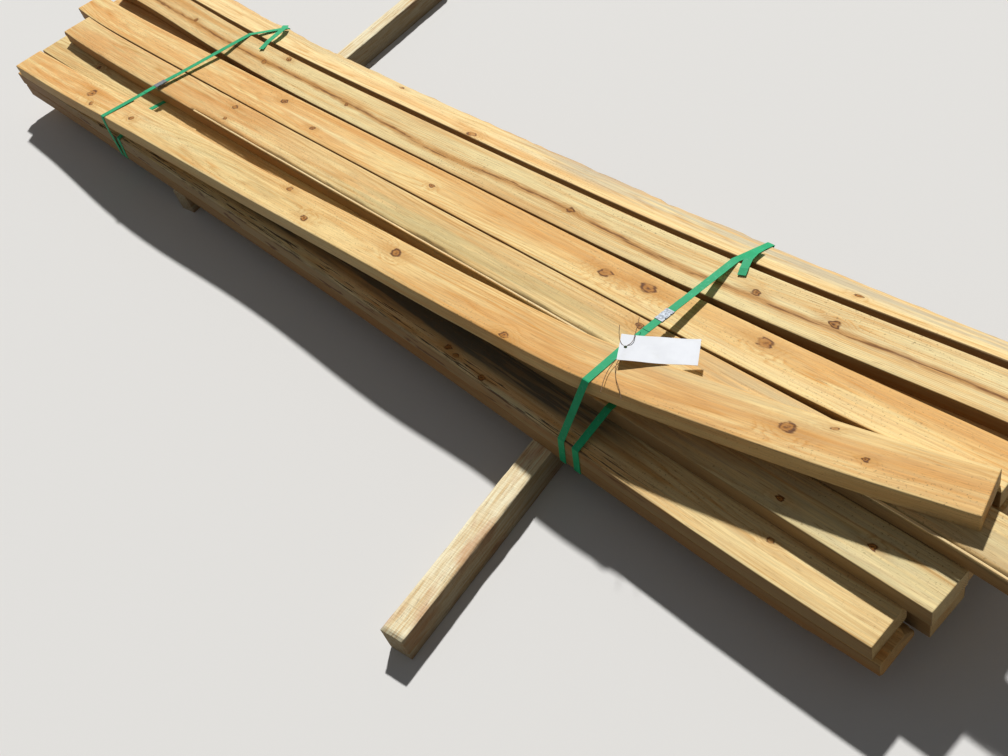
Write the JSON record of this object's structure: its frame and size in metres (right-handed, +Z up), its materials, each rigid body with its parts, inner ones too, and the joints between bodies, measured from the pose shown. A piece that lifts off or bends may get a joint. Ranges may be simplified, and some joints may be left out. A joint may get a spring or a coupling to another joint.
{
  "type": "bundle of pine studs",
  "caption": "Loosely strapped stack of softwood framing studs on two cross bearers, one stud lying crooked on top, with plastic straps, metal seals and a card tag.",
  "frame": {"origin": "on the ground, under the middle of the whole bundle's box", "axes": "+X along the studs towards the end where the crooked stud lies on top, +Y across towards the outer tilted stud, +Z up"},
  "size_m": [3.1652, 1.5502, 0.2546],
  "materials": {
    "stud_wood": "dressed pine, dry and a little weathered",
    "bearer_wood": "rough sawn softwood",
    "strap_plastic": "embossed green strapping",
    "seal_metal": "zinc plated, crimped",
    "tag_card": "white card with a printed number"
  },
  "bodies": {
    "root": {"bearer_far": "bearer_wood", "bearer_near": "bearer_wood", "seal_back": "seal_metal", "seal_front": "seal_metal", "strap_back": "strap_plastic", "strap_front": "strap_plastic", "strap_inner_back": "strap_plastic", "strap_inner_front": "strap_plastic", "stud_bottom_1": "stud_wood", "stud_bottom_2": "stud_wood", "stud_bottom_3": "stud_wood", "stud_bottom_4": "stud_wood", "stud_bottom_5": "stud_wood", "stud_edge": "stud_wood", "stud_loose": "stud_wood", "stud_second_1": "stud_wood", "stud_second_2": "stud_wood", "stud_second_3": "stud_wood", "stud_second_4": "stud_wood", "stud_second_5": "stud_wood", "stud_third_1": "stud_wood", "stud_third_2": "stud_wood", "stud_third_3": "stud_wood", "stud_third_4": "stud_wood", "stud_top_1": "stud_wood", "stud_top_2": "stud_wood", "stud_top_3": "stud_wood", "tag": "tag_card"}
  },
  "joints": []
}
